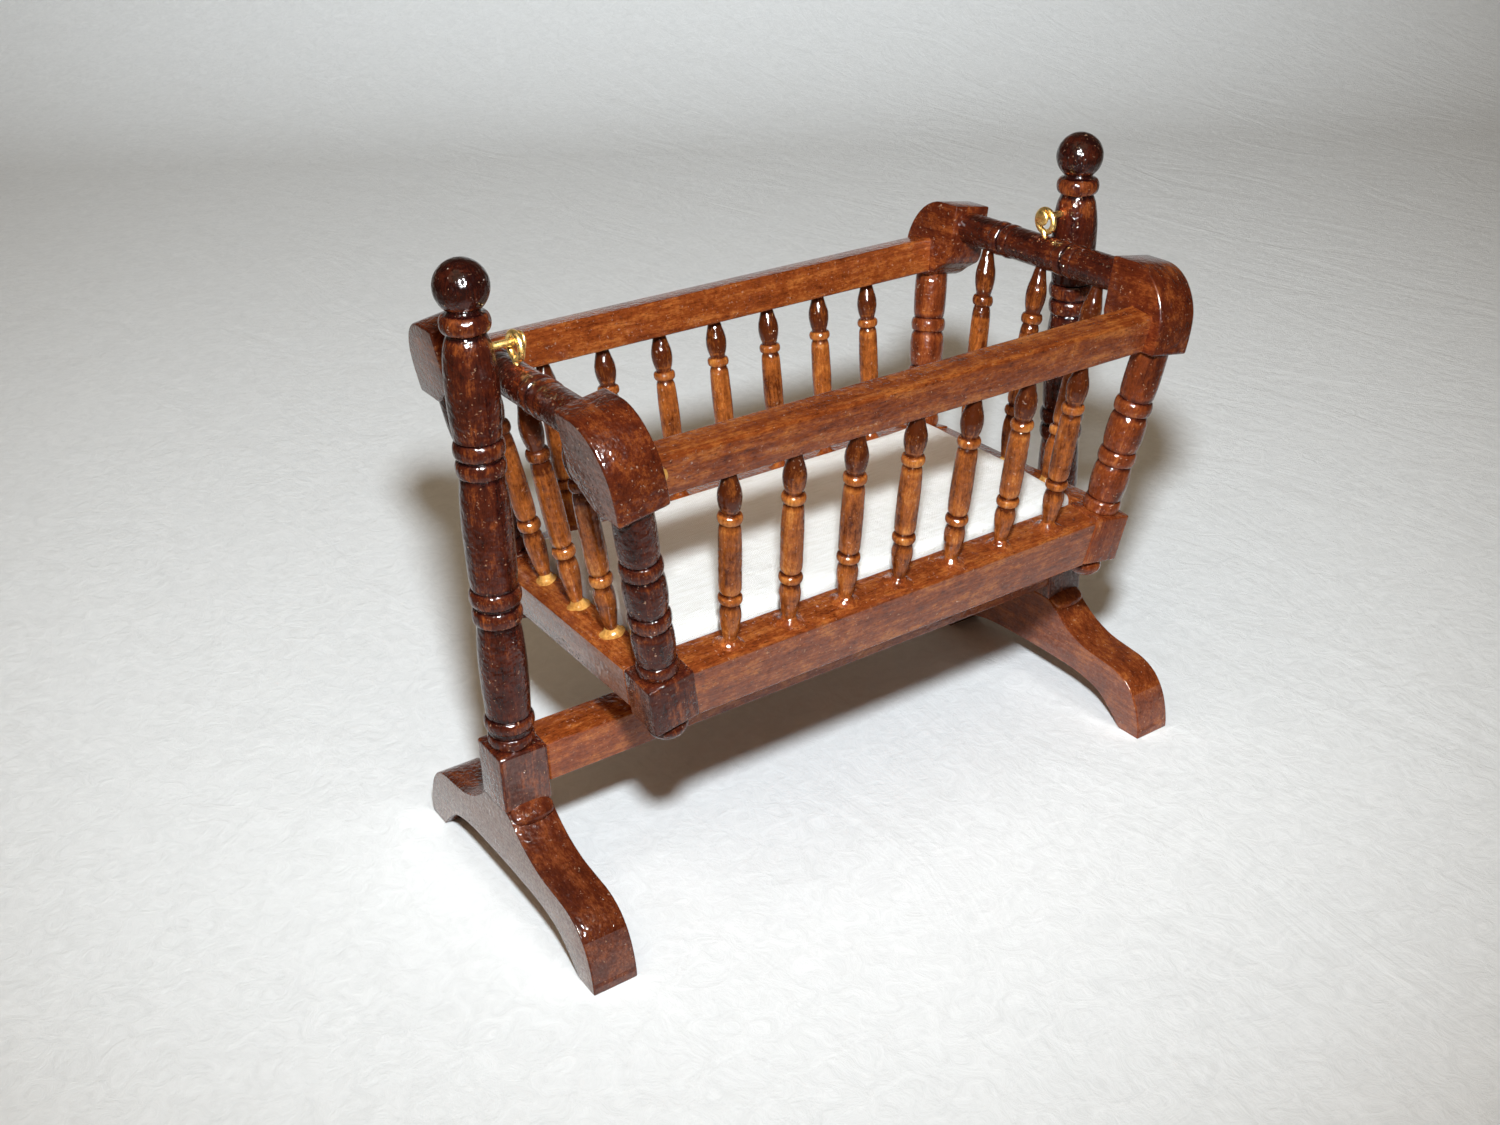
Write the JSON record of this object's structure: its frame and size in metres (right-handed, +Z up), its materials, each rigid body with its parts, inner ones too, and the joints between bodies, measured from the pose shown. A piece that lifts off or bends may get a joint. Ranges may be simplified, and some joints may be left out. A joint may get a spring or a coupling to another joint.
{
  "type": "swinging doll's house baby cradle",
  "caption": "Turned wooden miniature baby cradle: a spindled basket with flared sides and a loose mattress, hung on brass pins between two posts with arched feet.",
  "frame": {"origin": "centre of the footprint on the floor, midway between the two feet", "axes": "+X along the cradle from one stand post to the other, +Y across it, +Z up"},
  "size_m": [0.107, 0.0544, 0.0919],
  "materials": {
    "dark_wood": "gloss lacquer, dark red-brown",
    "rail_wood": "gloss lacquer, red-brown",
    "spindle_wood": "gloss lacquer, honey brown",
    "brass": "bright",
    "white_fabric": "matt woven cotton"
  },
  "bodies": {
    "stand": {"foot_left": "dark_wood", "foot_right": "dark_wood", "pivot_pin_left": "brass", "pivot_pin_right": "brass", "stand_post_left": "dark_wood", "stand_post_right": "dark_wood", "stretcher": "rail_wood"},
    "cradle": {"bottom_end_rail_left": "rail_wood", "bottom_end_rail_right": "rail_wood", "bottom_rail_back": "rail_wood", "bottom_rail_front": "rail_wood", "button_foot_back_left": "dark_wood", "button_foot_back_right": "dark_wood", "button_foot_front_left": "dark_wood", "button_foot_front_right": "dark_wood", "corner_post_back_left": "dark_wood", "corner_post_back_right": "dark_wood", "corner_post_front_left": "dark_wood", "corner_post_front_right": "dark_wood", "end_rod_left": "dark_wood", "end_rod_right": "dark_wood", "floor_panel": "rail_wood", "screw_eye_left": "brass", "screw_eye_right": "brass", "shoulder_block_back_left": "dark_wood", "shoulder_block_back_right": "dark_wood", "shoulder_block_front_left": "dark_wood", "shoulder_block_front_right": "dark_wood", "spindle_back_1": "spindle_wood", "spindle_back_2": "spindle_wood", "spindle_back_3": "spindle_wood", "spindle_back_4": "spindle_wood", "spindle_back_5": "spindle_wood", "spindle_back_6": "spindle_wood", "spindle_back_7": "spindle_wood", "spindle_front_1": "spindle_wood", "spindle_front_2": "spindle_wood", "spindle_front_3": "spindle_wood", "spindle_front_4": "spindle_wood", "spindle_front_5": "spindle_wood", "spindle_front_6": "spindle_wood", "spindle_front_7": "spindle_wood", "spindle_left_1": "spindle_wood", "spindle_left_2": "spindle_wood", "spindle_left_3": "spindle_wood", "spindle_right_1": "spindle_wood", "spindle_right_2": "spindle_wood", "spindle_right_3": "spindle_wood", "top_rail_back": "rail_wood", "top_rail_front": "rail_wood"},
    "mattress": {"mattress": "white_fabric"}
  },
  "joints": [
    {"name": "cradle_swing", "type": "hinge", "parent": "stand", "child": "cradle", "pos_m": [0, 0, 0.0804], "axis": [1, 0, 0], "range_deg": [-45, 45]},
    {"name": "mattress_lift", "type": "slide", "parent": "cradle", "child": "mattress", "axis": [0, 0, 1], "range_m": [0, 0.055]}
  ]
}
